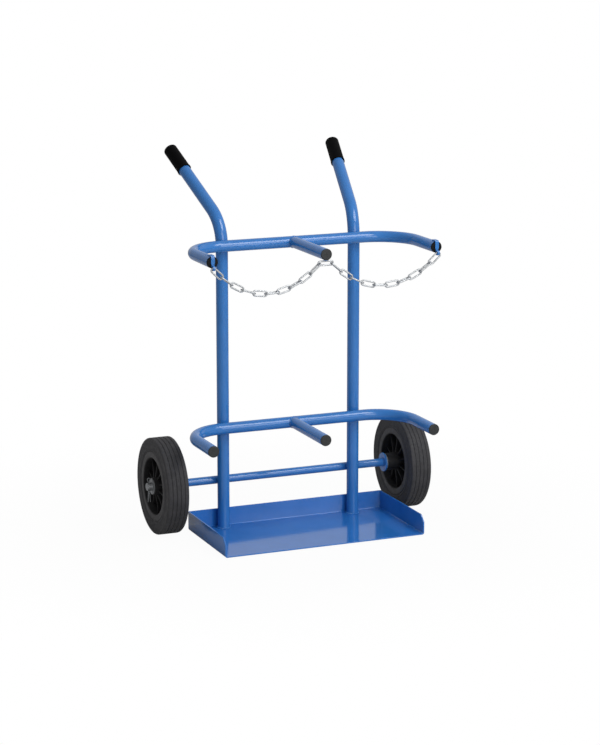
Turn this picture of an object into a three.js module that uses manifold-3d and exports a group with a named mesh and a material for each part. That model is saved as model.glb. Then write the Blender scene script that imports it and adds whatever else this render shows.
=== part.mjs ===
// Gas cylinder cart for two cylinders: a bent tube frame on two rubber wheels, with a folded
// foot tray, two hoops with a middle arm each, and a safety chain across the front of each bay.
// Millimetres. X runs across the cart, Y to the back, Z up. The origin lies on the tray's
// underside, midway between the axes of the two uprights.
import * as THREE from "three";
import { mergeVertices } from "three/addons/utils/BufferGeometryUtils.js";
import Module from "manifold-3d";

const wasm = await Module();
wasm.setup();

const degrees = Math.PI / 180;
const quarterTurn = 90 * degrees;
const halfTurn = 180 * degrees;
const fullTurn = 360 * degrees;

// Fits
const fitGap = 0.3; // between two pieces that are seated, welded or pushed together
const cutOverrun = 2; // how far a cutting tool runs past the face that it leaves
const joinOverlap = 1; // how far a rib or boss runs into the wall that it grows from
const mergeTolerance = 0.0001;

// Uprights, each one tube with its handle
const uprightDiameter = 30;
const uprightWall = 2;
const uprightInset = 13; // from the start of a hoop's bend in to the upright's axis
const handleBendDrop = 4; // from the upper hoop's axis down to the start of the handle's bend
const handleLength = 287; // from the corner of that bend to the tube's end
const handleBendRadius = 100;
const handleRake = 57.5 * degrees; // backwards from the vertical, seen from the side
const handleSplay = 8.8 * degrees; // outwards from that side plane

// Grips
const gripLength = 92;
const gripWall = 1.9;
const gripEndThickness = 3.5;
const gripLipHeight = 0.7;
const gripLipLength = 4;
const gripEndRounding = 3;

// Hoops and their arms
const hoopDiameter = 28;
const hoopWall = 2;
const hoopBendRadius = 100;
const upperHoopHeight = 716;
const armReach = 206; // from the hoop's back run to the end of each arm's tube

// End caps of the arms
const capHead = 3.5;
const capRounding = 2;
const capStemLength = 16;
const capStemTaper = 1.2;

// Foot tray, folded from one sheet
const traySheet = 3;
const trayInset = 25.5; // from a side arm's axis in to the tray's side
const trayFront = 242; // from the uprights' axes to the tray's front edge
const trayWallHeight = 48;
const trayBendRadius = 2.5; // inside a fold
const trayCornerCut = 16; // cut off the front top corner of each side wall

// Axle and what is on it
const axleDiameter = 20;
const axleLength = 735; // the cart's whole width
const axleChamfer = 1.5;
const collarDiameter = 48;
const collarWidth = 4;
const washerThickness = 2.5;
const innerWasherDiameter = 44;
const outerWasherDiameter = 40;

// Split pins
const pinWire = 2.4;
const pinLegGap = 0.3;
const pinSetback = 6.5; // from the axle's end
const pinEyeRadius = 4;
const pinEyeHeight = 17.8; // above the axle's axis
const pinLegLength = 39; // below the axle's axis
const pinSplay = 1.6;
const pinHoleClearance = 0.5;
const pinClearance = 6.7; // from the outer washer's face to the pin's axis

// Wheels
const wheelDiameter = 240;
const wheelClearance = 9; // from the tyre's top up to the lower hoop
const tyreWidth = 54;
const tyreHeight = 33; // from the rim's flange out to the tread
const tyreShoulder = 5.5;
const tyreBulge = 1.2;
const treadGrooves = 4;
const treadGrooveWidth = 3;
const treadGrooveDepth = 2.2;
const treadBand = 10.5; // from one groove's middle to the next one's
const flangeHeight = 16.5; // from the dish out to the flange's edge
const flangeThickness = 4;
const flangeRecess = 0.8; // from the tyre's side to the flange's face
const barrelWall = 4;
const webThickness = 5;
const hubDiameter = 46;
const hubOutboard = 26.5; // from the tyre's middle plane to the hub's outer end
const hubInboard = 48;
const sideArmInset = 37; // from the tyre's middle plane in to a side arm's axis
const ribCount = 10;
const ribThickness = 4;
const ribDepthAtRim = 13;
const ribDepthAtHub = 20;
const bushWall = 3;

// Chains, of long links
const linkWire = 4;
const linkInnerLength = 32;
const linkInnerWidth = 8;
const linkPlay = 0.9; // free play between two links when the chain hangs still
const chainSlackShare = 1.16; // a chain's length over the distance that it spans

// Straps that the chains hang from, at the ends of the upper side arms
const strapPlay = 0.75; // from the strap's edges to the first link's wires
const strapThickness = 2.5;
const strapSeat = 14; // along the top of the tube, behind its end
const strapBendRadius = 2;
const strapEyePlay = 1.6; // round the first link's wire in the eye
const strapEyeDrop = 13; // from the tube's axis down to the eye's axis
const strapEyeOpening = 65 * degrees;

// Wire bow under the upper middle arm
const bowWire = 4;
const bowWidth = 38; // between the axes of its legs
const bowHeight = 10; // between the axes of its upper and lower bars
const bowCornerRadius = 4;
const bowPlay = 1; // from its corner to the last link, along the link
const bowSetback = 3.5; // from the arm's end to the bow's axis

// Numbers of facets
const tubeSides = 16;
const boreSides = 12;
const hoopBendSteps = 7;
const handleBendSteps = 5;
const saddleSides = 32;
const wheelSides = 28;
const hubSides = 16;
const wireSides = 6;
const linkEndSteps = 4;
const pinEyeSteps = 7;
const smallArcSteps = 3;
const eyeSteps = 12;
const shoulderSteps = 2;

// Derived radii
const uprightRadius = uprightDiameter / 2;
const hoopRadius = hoopDiameter / 2;
const hoopBore = hoopRadius - hoopWall;
const wheelRadius = wheelDiameter / 2;
const flangeDiameter = wheelDiameter - 2 * tyreHeight;
const dishDiameter = flangeDiameter - 2 * flangeHeight;
const axleRadius = axleDiameter / 2;
const strapWidth = linkInnerWidth - 2 * strapPlay;
const strapEyeBore = linkWire + 2 * strapEyePlay;
const linkEndRadius = (linkInnerWidth + linkWire) / 2;

// Derived places across the cart, from the axle's end inwards
const pinX = axleLength / 2 - pinSetback;
const outerWasherX = pinX - pinClearance - washerThickness;
const wheelX = outerWasherX - fitGap - hubOutboard;
const innerWasherX = wheelX - hubInboard - fitGap - washerThickness;
const collarX = innerWasherX - fitGap - collarWidth;
const sideArmX = wheelX - sideArmInset;
const uprightX = sideArmX - hoopBendRadius - uprightInset;
const trayHalf = sideArmX - trayInset;

// Derived places from front to back, about the uprights' axes
const hoopY = -(uprightRadius + fitGap + hoopRadius);
const armEndY = hoopY - armReach;
const capFaceY = armEndY - fitGap - capHead;
const strapFaceY = capFaceY - fitGap;
const eyeY = strapFaceY - strapEyeBore / 2 - strapThickness;
const bowY = armEndY + bowSetback;
const axleY = uprightRadius + fitGap + axleRadius;
const foldReach = trayBendRadius - Math.sqrt(trayBendRadius ** 2 - (trayBendRadius - fitGap) ** 2);
const trayBack = uprightRadius + 2 * fitGap + foldReach + traySheet; // its fold clears the uprights' feet

// Derived heights
const lowerHoopHeight = wheelDiameter + wheelClearance + hoopRadius;
const handleTurn = Math.acos(Math.cos(handleSplay) * Math.cos(handleRake)); // from upright to handle
const handleBendReach = handleBendRadius * Math.tan(handleTurn / 2); // from a bend's end to its corner
const handleCornerHeight = upperHoopHeight - handleBendDrop + handleBendReach;
const axleZ = wheelRadius;
const bowTopZ = upperHoopHeight - hoopRadius - fitGap - bowWire / 2;
const bowBottomZ = bowTopZ - bowHeight;
const linkStraight = linkInnerLength - linkInnerWidth;
const linkRise = strapEyeBore / 2 - linkWire / 2 - fitGap; // of the first link's wire above the eye's axis

const paint = new THREE.MeshStandardMaterial({ color: 0x2f6fbf, roughness: 0.35, metalness: 0 });
const rubber = new THREE.MeshStandardMaterial({ color: 0x2b2b2d, roughness: 0.75, metalness: 0 });
const plastic = new THREE.MeshStandardMaterial({ color: 0x3a3c3c, roughness: 0.5, metalness: 0 });
const rimPlastic = new THREE.MeshStandardMaterial({ color: 0x1c1c1e, roughness: 0.45, metalness: 0 });
const zinc = new THREE.MeshStandardMaterial({ color: 0xb9bdbf, roughness: 0.35, metalness: 1 });
const nylon = new THREE.MeshStandardMaterial({ color: 0xd8d6cc, roughness: 0.5, metalness: 0 });

// Radius of a polygon's corners when its flats must clear a round of the given radius
function clearing(radius, sides) {
  return radius / Math.cos(halfTurn / sides);
}

// Points on an arc, both ends among them
function arc(centre, radius, from, to, steps) {
  return Array.from({ length: steps + 1 }, (_, i) => {
    const angle = from + ((to - from) * i) / steps;
    return new THREE.Vector2(centre.x + radius * Math.cos(angle), centre.y + radius * Math.sin(angle));
  });
}

function circle(radius, sides) {
  return arc(new THREE.Vector2(), radius, 0, fullTurn, sides).slice(0, sides);
}

// A geometry with shared corners and no collapsed triangles
function closed(geometry) {
  const bare = geometry.clone();
  bare.deleteAttribute("normal");
  bare.deleteAttribute("uv");
  const merged = mergeVertices(bare, mergeTolerance);
  const old = merged.index.array;
  const kept = [];
  for (let i = 0; i < old.length; i += 3) {
    const [a, b, c] = [old[i], old[i + 1], old[i + 2]];
    if (a !== b && b !== c && c !== a) kept.push(a, b, c);
  }
  merged.setIndex(kept);
  return merged;
}

function solid(geometry) {
  const mesh = closed(geometry);
  return new wasm.Manifold(
    new wasm.Mesh({
      numProp: 3,
      vertProperties: new Float32Array(mesh.attributes.position.array),
      triVerts: new Uint32Array(mesh.index.array),
    }),
  );
}

function geometryOf(body) {
  const mesh = body.getMesh();
  const geometry = new THREE.BufferGeometry();
  geometry.setAttribute("position", new THREE.BufferAttribute(mesh.vertProperties, 3));
  geometry.setIndex(new THREE.BufferAttribute(mesh.triVerts, 1));
  geometry.computeVertexNormals();
  return geometry;
}

// A curve given by its stations: a point and a direction each
class StationCurve extends THREE.Curve {
  constructor(stations, isClosed = false) {
    super();
    this.stations = stations;
    this.steps = isClosed ? stations.length : stations.length - 1;
  }
  station(u) {
    return this.stations[Math.round(u * this.steps) % this.stations.length];
  }
  getPointAt(u, target = new THREE.Vector3()) {
    return target.copy(this.station(u).point);
  }
  getTangentAt(u, target = new THREE.Vector3()) {
    return target.copy(this.station(u).tangent);
  }
}

// Stations of a round bend at a corner, from the run that comes in to the run that goes out
function bend(before, corner, after, radius, steps) {
  const into = corner.clone().sub(before).normalize();
  const out = after.clone().sub(corner).normalize();
  const turn = into.angleTo(out);
  const axis = into.clone().cross(out).normalize();
  const inward = axis.clone().cross(into);
  const start = corner.clone().addScaledVector(into, -radius * Math.tan(turn / 2));
  const centre = start.clone().addScaledVector(inward, radius);
  return Array.from({ length: steps + 1 }, (_, i) => {
    const angle = (turn * i) / steps;
    const spoke = inward.clone().multiplyScalar(-radius).applyAxisAngle(axis, angle);
    return { point: spoke.add(centre), tangent: into.clone().applyAxisAngle(axis, angle) };
  });
}

// Stations of an open run through corners, each corner rounded by a bend
function bentRun(corners, radius, steps) {
  const last = corners.length - 1;
  const stations = [{ point: corners[0], tangent: corners[1].clone().sub(corners[0]).normalize() }];
  for (let i = 1; i < last; i++) {
    stations.push(...bend(corners[i - 1], corners[i], corners[i + 1], radius, steps));
  }
  stations.push({ point: corners[last], tangent: corners[last].clone().sub(corners[last - 1]).normalize() });
  return stations;
}

// Stations through given points, each looking along its neighbours
function stationsThrough(points) {
  return points.map((point, i) => {
    const before = points[Math.max(i - 1, 0)];
    const after = points[Math.min(i + 1, points.length - 1)];
    return { point, tangent: after.clone().sub(before).normalize() };
  });
}

function tube(stations, radius, bore) {
  const section = new THREE.Shape(circle(radius, tubeSides));
  section.holes.push(new THREE.Path(circle(clearing(bore, boreSides), boreSides)));
  const extrudePath = new StationCurve(stations);
  return new THREE.ExtrudeGeometry(section, { steps: extrudePath.steps, extrudePath });
}

function wire(stations, diameter) {
  const section = new THREE.Shape(circle(diameter / 2, wireSides));
  const extrudePath = new StationCurve(stations);
  return new THREE.ExtrudeGeometry(section, { steps: extrudePath.steps, extrudePath });
}

function wireLoop(stations, diameter) {
  const path = new StationCurve(stations, true);
  return new THREE.TubeGeometry(path, path.steps, diameter / 2, wireSides, true);
}

// A body turned about X from a profile of radius and place along X, listed with its hollow to the left
function turned(profile, sides) {
  const points = profile.map(([radius, along]) => new THREE.Vector2(radius, along));
  return new THREE.LatheGeometry(points, sides).rotateZ(-quarterTurn);
}

// A ring about X, from its inner end at zero outwards
function ring(bore, radius, width, sides) {
  const inner = clearing(bore, sides);
  return turned([[inner, 0], [radius, 0], [radius, width], [inner, width], [inner, 0]], sides);
}

// A flat outline, given across and up, extruded to both sides of zero
function plate(outline, thickness) {
  const geometry = new THREE.ExtrudeGeometry(new THREE.Shape(outline), {
    depth: thickness,
    bevelEnabled: false,
  });
  return geometry.translate(0, 0, -thickness / 2);
}

// A piece: a named mesh at a place
function piece(name, geometry, material, place = new THREE.Vector3()) {
  const mesh = new THREE.Mesh(geometry, material);
  mesh.name = name;
  mesh.position.copy(place);
  return mesh;
}

const sides = [
  { name: "left", out: -1 },
  { name: "right", out: 1 },
];

// Uprights: straight up from the tray's floor, then back and a little outwards as a handle
function handleDirection(out) {
  return new THREE.Vector3(
    out * Math.sin(handleSplay),
    Math.cos(handleSplay) * Math.sin(handleRake),
    Math.cos(handleSplay) * Math.cos(handleRake),
  );
}

function handleEnd(out) {
  const corner = new THREE.Vector3(out * uprightX, 0, handleCornerHeight);
  return corner.addScaledVector(handleDirection(out), handleLength);
}

function upright(out) {
  const foot = new THREE.Vector3(out * uprightX, 0, traySheet + fitGap);
  const corner = new THREE.Vector3(out * uprightX, 0, handleCornerHeight);
  const run = bentRun([foot, corner, handleEnd(out)], handleBendRadius, handleBendSteps);
  return tube(run, uprightRadius, uprightRadius - uprightWall);
}

// Grips: a sleeve with a lip at its mouth and a closed, rounded end
function grip() {
  const bore = clearing(uprightRadius + fitGap, tubeSides);
  const radius = uprightRadius + fitGap + gripWall;
  const lip = radius + gripLipHeight;
  const end = fitGap + gripEndThickness;
  const mouth = end - gripLength;
  const rounding = arc(
    new THREE.Vector2(radius - gripEndRounding, end - gripEndRounding),
    gripEndRounding, 0, quarterTurn, smallArcSteps,
  );
  return turned(
    [
      [0, fitGap],
      [bore, fitGap],
      [bore, mouth],
      [lip, mouth],
      [lip, mouth + gripLipLength],
      [radius, mouth + gripLipLength + gripLipHeight],
      ...rounding.map((point) => [point.x, point.y]),
      [0, end],
    ],
    tubeSides,
  );
}

// Hoops: a back run across both uprights and a side arm at each end
function hoop() {
  const corners = [
    new THREE.Vector3(-sideArmX, armEndY, 0),
    new THREE.Vector3(-sideArmX, hoopY, 0),
    new THREE.Vector3(sideArmX, hoopY, 0),
    new THREE.Vector3(sideArmX, armEndY, 0),
  ];
  return tube(bentRun(corners, hoopBendRadius, hoopBendSteps), hoopRadius, hoopBore);
}

// Middle arm: a straight tube whose back end is cut to saddle the hoop
function middleArm() {
  const ends = [new THREE.Vector3(0, hoopY, 0), new THREE.Vector3(0, armEndY, 0)];
  const arm = tube(stationsThrough(ends), hoopRadius, hoopBore);
  const saddle = clearing(hoopRadius + fitGap, saddleSides);
  const cutter = new THREE.CylinderGeometry(saddle, saddle, hoopDiameter + cutOverrun, saddleSides);
  cutter.rotateZ(quarterTurn).translate(0, hoopY, 0);
  return geometryOf(solid(arm).subtract(solid(cutter)));
}

// End cap: a rounded head as wide as the tube, on a stem pushed into its bore
function endCap() {
  const stem = hoopBore - fitGap;
  const rounding = arc(
    new THREE.Vector2(hoopRadius - capRounding, fitGap + capHead - capRounding),
    capRounding, 0, quarterTurn, shoulderSteps,
  );
  const geometry = turned(
    [
      [0, -capStemLength],
      [stem - capStemTaper, -capStemLength],
      [stem, -capStemLength + capStemTaper],
      [stem, fitGap],
      [hoopRadius, fitGap],
      ...rounding.map((point) => [point.x, point.y]),
      [0, fitGap + capHead],
    ],
    tubeSides,
  );
  return geometry.rotateZ(-quarterTurn);
}

// Foot tray: floor, back wall and two side walls folded up, open at the front
function tray() {
  const fold = trayBendRadius + traySheet;
  const above = trayWallHeight + cutOverrun;
  const ahead = -trayFront - cutOverrun;
  const folded = (x, z, radius, from) =>
    arc(new THREE.Vector2(x, z + radius), radius, from, from + quarterTurn, smallArcSteps);
  // What lies between two sides, seen from the front
  const between = (left, right) => {
    const top = [new THREE.Vector2(right.x, above), new THREE.Vector2(left.x, above)];
    const outline = [...top, ...left.foot, ...right.foot];
    return solid(plate(outline, 2 * (trayFront + trayBack)).rotateX(quarterTurn));
  };
  // What lies in front of the back wall, seen from the side
  const before = (back, bottom, radius, front) => {
    const outline = [...folded(back - radius, bottom, radius, -quarterTurn), ...front];
    return solid(plate(outline, 2 * (trayHalf + cutOverrun)).rotateY(quarterTurn).rotateX(quarterTurn));
  };
  // A side's wall, folded up out of the floor
  const wall = (out, x, bottom, radius) => ({
    x: out * x,
    foot: folded(out * (x - radius), bottom, radius, out > 0 ? -quarterTurn : halfTurn),
  });
  // The open side of a bay, where it meets the other bay
  const open = (out) => ({
    x: out * cutOverrun,
    foot: [new THREE.Vector2(out * cutOverrun, traySheet)],
  });
  const outerFront = [
    new THREE.Vector2(trayBack, trayWallHeight),
    new THREE.Vector2(-trayFront + trayCornerCut, trayWallHeight),
    new THREE.Vector2(-trayFront, trayWallHeight - trayCornerCut),
    new THREE.Vector2(-trayFront, 0),
  ];
  const innerBack = trayBack - traySheet;
  const innerFront = [
    new THREE.Vector2(innerBack, above),
    new THREE.Vector2(ahead, above),
    new THREE.Vector2(ahead, traySheet),
  ];
  const inner = (out) => wall(out, trayHalf - traySheet, traySheet, trayBendRadius);
  const bays = [between(inner(-1), open(1)), between(open(-1), inner(1))];
  let body = between(wall(-1, trayHalf, 0, fold), wall(1, trayHalf, 0, fold));
  body = body.intersect(before(trayBack, 0, fold, outerFront));
  for (const bay of bays) {
    body = body.subtract(bay.intersect(before(innerBack, traySheet, trayBendRadius, innerFront)));
  }
  return geometryOf(body);
}

// Axle: a chamfered rod with a hole for a split pin near each end
function axle() {
  const half = axleLength / 2;
  const face = axleRadius - axleChamfer;
  const rod = turned(
    [
      [0, -half],
      [face, -half],
      [axleRadius, -half + axleChamfer],
      [axleRadius, half - axleChamfer],
      [face, half],
      [0, half],
    ],
    hubSides,
  );
  const hole = clearing(pinWire + pinLegGap / 2 + pinHoleClearance, boreSides);
  const reach = axleDiameter + 2 * cutOverrun;
  const drill = new THREE.CylinderGeometry(hole, hole, reach, boreSides).rotateX(quarterTurn);
  let body = solid(rod);
  for (const side of sides) {
    body = body.subtract(solid(drill.clone().translate(side.out * pinX, 0, 0)));
  }
  return geometryOf(body);
}

// Split pin: a wire folded to an eye, its two legs side by side through the axle and then spread
function splitPin() {
  const leg = (pinWire + pinLegGap) / 2;
  const under = -axleRadius - pinWire;
  const neck = pinEyeHeight - pinEyeRadius - pinWire;
  const side = (out) => [
    new THREE.Vector3(out * (leg + pinSplay), 0, -pinLegLength),
    new THREE.Vector3(out * leg, 0, under),
    new THREE.Vector3(out * leg, 0, neck),
  ];
  const eye = arc(
    new THREE.Vector2(0, pinEyeHeight), pinEyeRadius,
    halfTurn + quarterTurn / 2, -quarterTurn / 2, pinEyeSteps,
  );
  const points = [
    ...side(-1),
    ...eye.map((point) => new THREE.Vector3(point.x, 0, point.y)),
    ...side(1).reverse(),
  ];
  return wire(stationsThrough(points), pinWire);
}

// Tyre: solid rubber with rounded shoulders and grooves round its tread
function tyre() {
  const half = tyreWidth / 2;
  const seat = dishDiameter / 2 + barrelWall + fitGap;
  const bead = half - flangeRecess - flangeThickness - fitGap;
  const flange = flangeDiameter / 2 + fitGap;
  const corner = wheelRadius - tyreShoulder;
  const shoulder = arc(
    new THREE.Vector2(corner, half - tyreShoulder), tyreShoulder, quarterTurn, 0, shoulderSteps,
  );
  const outward = (end) => [
    [seat, end * bead],
    [flange, end * bead],
    [flange, end * (half - tyreBulge)],
    ...shoulder.map((point) => [point.x, end * point.y]),
  ];
  const grooves = Array.from({ length: treadGrooves }, (_, i) => (i - (treadGrooves - 1) / 2) * treadBand);
  const tread = grooves.flatMap((middle) => [
    [wheelRadius, middle - treadGrooveWidth / 2],
    [wheelRadius - treadGrooveDepth, middle],
    [wheelRadius, middle + treadGrooveWidth / 2],
  ]);
  return turned([...outward(-1), ...tread, ...outward(1).reverse(), [seat, -bead]], wheelSides);
}

// Rim: hub, web, barrel and two flanges in one moulding, with ribs on both faces of the web
function rim() {
  const bore = clearing(axleRadius + 2 * fitGap + bushWall, hubSides);
  const hub = hubDiameter / 2;
  const dish = dishDiameter / 2;
  const flange = flangeDiameter / 2;
  const face = tyreWidth / 2 - flangeRecess;
  const web = webThickness / 2;
  const body = turned(
    [
      [bore, -hubInboard],
      [hub, -hubInboard],
      [hub, -web],
      [dish, -web],
      [dish, -face],
      [flange, -face],
      [flange, -face + flangeThickness],
      [dish + barrelWall, -face + flangeThickness],
      [dish + barrelWall, face - flangeThickness],
      [flange, face - flangeThickness],
      [flange, face],
      [dish, face],
      [dish, web],
      [hub, web],
      [hub, hubOutboard],
      [bore, hubOutboard],
      [bore, -hubInboard],
    ],
    wheelSides,
  );
  const outline = [
    new THREE.Vector2(-ribDepthAtHub, hub - joinOverlap),
    new THREE.Vector2(-ribDepthAtRim, dish + joinOverlap),
    new THREE.Vector2(ribDepthAtRim, dish + joinOverlap),
    new THREE.Vector2(ribDepthAtHub, hub - joinOverlap),
  ].reverse();
  const rib = plate(outline, ribThickness).rotateX(quarterTurn);
  let moulding = solid(body);
  for (let i = 0; i < ribCount; i++) {
    moulding = moulding.add(solid(rib.clone().rotateX((fullTurn * i) / ribCount)));
  }
  return geometryOf(moulding);
}

// Wheel: tyre, rim and bush about the axle, seen from its outboard side
function wheel(side) {
  const group = new THREE.Group();
  group.position.set(side.out * wheelX, axleY, axleZ);
  group.rotation.z = side.out > 0 ? 0 : halfTurn;
  const bush = ring(axleRadius + fitGap, axleRadius + fitGap + bushWall, hubInboard + hubOutboard, hubSides);
  group.add(
    piece(`${side.name}_tyre`, tyre(), rubber),
    piece(`${side.name}_rim`, rim(), rimPlastic),
    piece(`${side.name}_wheel_bush`, bush.translate(-hubInboard, 0, 0), nylon),
  );
  return group;
}

// What stays still on the axle beside each wheel
function axleFittings(side) {
  const group = new THREE.Group();
  group.position.set(0, axleY, axleZ);
  group.rotation.z = side.out > 0 ? 0 : halfTurn;
  const bore = axleRadius + fitGap;
  const at = (x) => new THREE.Vector3(x, 0, 0);
  const collar = ring(bore, collarDiameter / 2, collarWidth, hubSides);
  const innerWasher = ring(bore, innerWasherDiameter / 2, washerThickness, hubSides);
  const outerWasher = ring(bore, outerWasherDiameter / 2, washerThickness, hubSides);
  group.add(
    piece(`${side.name}_axle_collar`, collar, paint, at(collarX)),
    piece(`${side.name}_inner_washer`, innerWasher, zinc, at(innerWasherX)),
    piece(`${side.name}_outer_washer`, outerWasher, zinc, at(outerWasherX)),
    piece(`${side.name}_split_pin`, splitPin(), zinc, at(pinX)),
  );
  return group;
}

// Chain strap: a flat bar seated on the arm's end, bent down over the cap and rolled to an eye
function chainStrap() {
  const top = hoopRadius + fitGap;
  const back = armEndY + strapSeat;
  const eye = new THREE.Vector2(eyeY, -strapEyeDrop);
  const bendCentre = new THREE.Vector2(strapFaceY + strapBendRadius, top - strapBendRadius);
  const eyeOuter = strapEyeBore / 2 + strapThickness;
  const outline = [
    new THREE.Vector2(back, top),
    new THREE.Vector2(back, top + strapThickness),
    ...arc(bendCentre, strapBendRadius + strapThickness, quarterTurn, halfTurn, smallArcSteps),
    ...arc(eye, strapEyeBore / 2, 0, -fullTurn + strapEyeOpening, eyeSteps),
    ...arc(eye, eyeOuter, -fullTurn + strapEyeOpening, 0, eyeSteps),
    ...arc(bendCentre, strapBendRadius, halfTurn, quarterTurn, smallArcSteps),
  ];
  return plate(outline.reverse(), strapWidth).rotateY(quarterTurn).rotateX(quarterTurn);
}

// Bow: a closed loop of wire under the end of the upper middle arm
function chainBow() {
  const half = bowWidth / 2;
  const corners = [
    new THREE.Vector3(-half, bowY, bowTopZ),
    new THREE.Vector3(half, bowY, bowTopZ),
    new THREE.Vector3(half, bowY, bowBottomZ),
    new THREE.Vector3(-half, bowY, bowBottomZ),
  ];
  const at = (i) => corners[(i + corners.length) % corners.length];
  const stations = corners.flatMap((corner, i) =>
    bend(at(i - 1), corner, at(i + 1), bowCornerRadius, smallArcSteps),
  );
  return wireLoop(stations, bowWire);
}

// Chain link: a long loop of wire along X, lying in the XZ plane, its ends half round
function chainLink() {
  const stations = [1, -1].flatMap((end) =>
    Array.from({ length: linkEndSteps + 1 }, (_, i) => {
      const angle = (end * fullTurn) / 4 - (halfTurn * i) / linkEndSteps;
      const spoke = new THREE.Vector3(Math.cos(angle), 0, Math.sin(angle));
      const point = spoke.multiplyScalar(linkEndRadius);
      point.x += (end * linkStraight) / 2;
      return { point, tangent: new THREE.Vector3(Math.sin(angle), 0, -Math.cos(angle)) };
    }),
  );
  return wireLoop(stations, linkWire);
}

// Directions of a chain's links when it hangs between two points: each link carries one more link's
// weight than the link before it, so the slopes' tangents step evenly
function hangingSlopes(lengths, across, rise) {
  const slopes = (sharpness, shift) => lengths.map((_, i) => Math.atan(sharpness * (i - shift)));
  const riseOf = (angles) => angles.reduce((sum, angle, i) => sum + lengths[i] * Math.sin(angle), 0);
  const spanOf = (angles) => angles.reduce((sum, angle, i) => sum + lengths[i] * Math.cos(angle), 0);
  const halvings = 60;
  const balanced = (sharpness) => {
    let [low, high] = [-lengths.length, 2 * lengths.length];
    for (let i = 0; i < halvings; i++) {
      const middle = (low + high) / 2;
      if (riseOf(slopes(sharpness, middle)) > rise) low = middle;
      else high = middle;
    }
    return slopes(sharpness, low);
  };
  let [flat, steep] = [0, lengths.length];
  for (let i = 0; i < halvings; i++) {
    const middle = (flat + steep) / 2;
    if (spanOf(balanced(middle)) > across) flat = middle;
    else steep = middle;
  }
  return balanced(flat);
}

// Chain: links that hang from the strap's eye to the bow's lower corner, turned a quarter each time
function chain(side) {
  const from = new THREE.Vector3(
    side.out * sideArmX,
    eyeY,
    upperHoopHeight - strapEyeDrop + linkRise - linkEndRadius,
  );
  const to = new THREE.Vector3(
    side.out * (bowWidth / 2 - bowCornerRadius),
    bowY,
    bowBottomZ + bowCornerRadius,
  );
  const apexToJoint = (linkWire + linkPlay) / 2;
  const centreToJoint = linkEndRadius - apexToJoint;
  const bowApex = (linkWire + bowWire) / 2 + bowPlay - bowCornerRadius;
  const flat = new THREE.Vector3(to.x - from.x, to.y - from.y, 0);
  // An even number, so that the last link passes through the bow edgeways
  const pairLength = 2 * (linkStraight + 2 * centreToJoint);
  const linkCount = 2 * Math.round((chainSlackShare * flat.length()) / pairLength);
  const lengths = Array.from({ length: linkCount }, (_, i) => {
    const start = i === 0 ? 0 : centreToJoint;
    const end = i === linkCount - 1 ? linkEndRadius - bowApex : centreToJoint;
    return start + linkStraight + end;
  });
  const slopes = hangingSlopes(lengths, flat.length(), to.z - from.z);
  const heading = flat.clone().normalize();
  const joint = from.clone();
  const group = new THREE.Group();
  slopes.forEach((slope, i) => {
    const direction = heading.clone().multiplyScalar(Math.cos(slope));
    direction.z = Math.sin(slope);
    const start = i === 0 ? 0 : centreToJoint;
    const middle = joint.clone().addScaledVector(direction, start + linkStraight / 2);
    const across = new THREE.Vector3(-heading.y, heading.x, 0);
    const facing = i % 2 === 0 ? across : direction.clone().cross(across);
    const up = direction.clone().cross(facing);
    const number = String(i + 1).padStart(2, "0");
    const link = piece(`${side.name}_chain_link_${number}`, chainLink(), zinc, middle);
    link.quaternion.setFromRotationMatrix(new THREE.Matrix4().makeBasis(direction, facing, up));
    group.add(link);
    joint.addScaledVector(direction, lengths[i]);
  });
  return group;
}

const cart = new THREE.Group();

cart.add(piece("base_tray", tray(), paint));
cart.add(piece("axle", axle(), paint, new THREE.Vector3(0, axleY, axleZ)));

for (const [level, height] of [["upper", upperHoopHeight], ["lower", lowerHoopHeight]]) {
  const atHeight = (x, y) => new THREE.Vector3(x, y, height);
  cart.add(piece(`${level}_hoop`, hoop(), paint, atHeight(0, 0)));
  cart.add(piece(`${level}_middle_arm`, middleArm(), paint, atHeight(0, 0)));
  cart.add(piece(`${level}_middle_cap`, endCap(), plastic, atHeight(0, armEndY)));
  for (const side of sides) {
    cart.add(piece(`${level}_${side.name}_cap`, endCap(), plastic, atHeight(side.out * sideArmX, armEndY)));
  }
}

for (const side of sides) {
  cart.add(piece(`${side.name}_upright`, upright(side.out), paint));
  const sleeve = piece(`${side.name}_grip`, grip(), rubber, handleEnd(side.out));
  sleeve.quaternion.setFromUnitVectors(new THREE.Vector3(1, 0, 0), handleDirection(side.out));
  cart.add(sleeve);
  cart.add(piece(
    `${side.name}_chain_strap`, chainStrap(), paint,
    new THREE.Vector3(side.out * sideArmX, 0, upperHoopHeight),
  ));
  cart.add(wheel(side), axleFittings(side), chain(side));
}
cart.add(piece("centre_chain_bow", chainBow(), zinc));

export default cart;
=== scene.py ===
"""Gas cylinder cart: the finish of every surface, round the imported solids. Metres, +Z up."""

import math

import bmesh
import bpy
import numpy as np
from mathutils import Matrix, Vector


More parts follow.
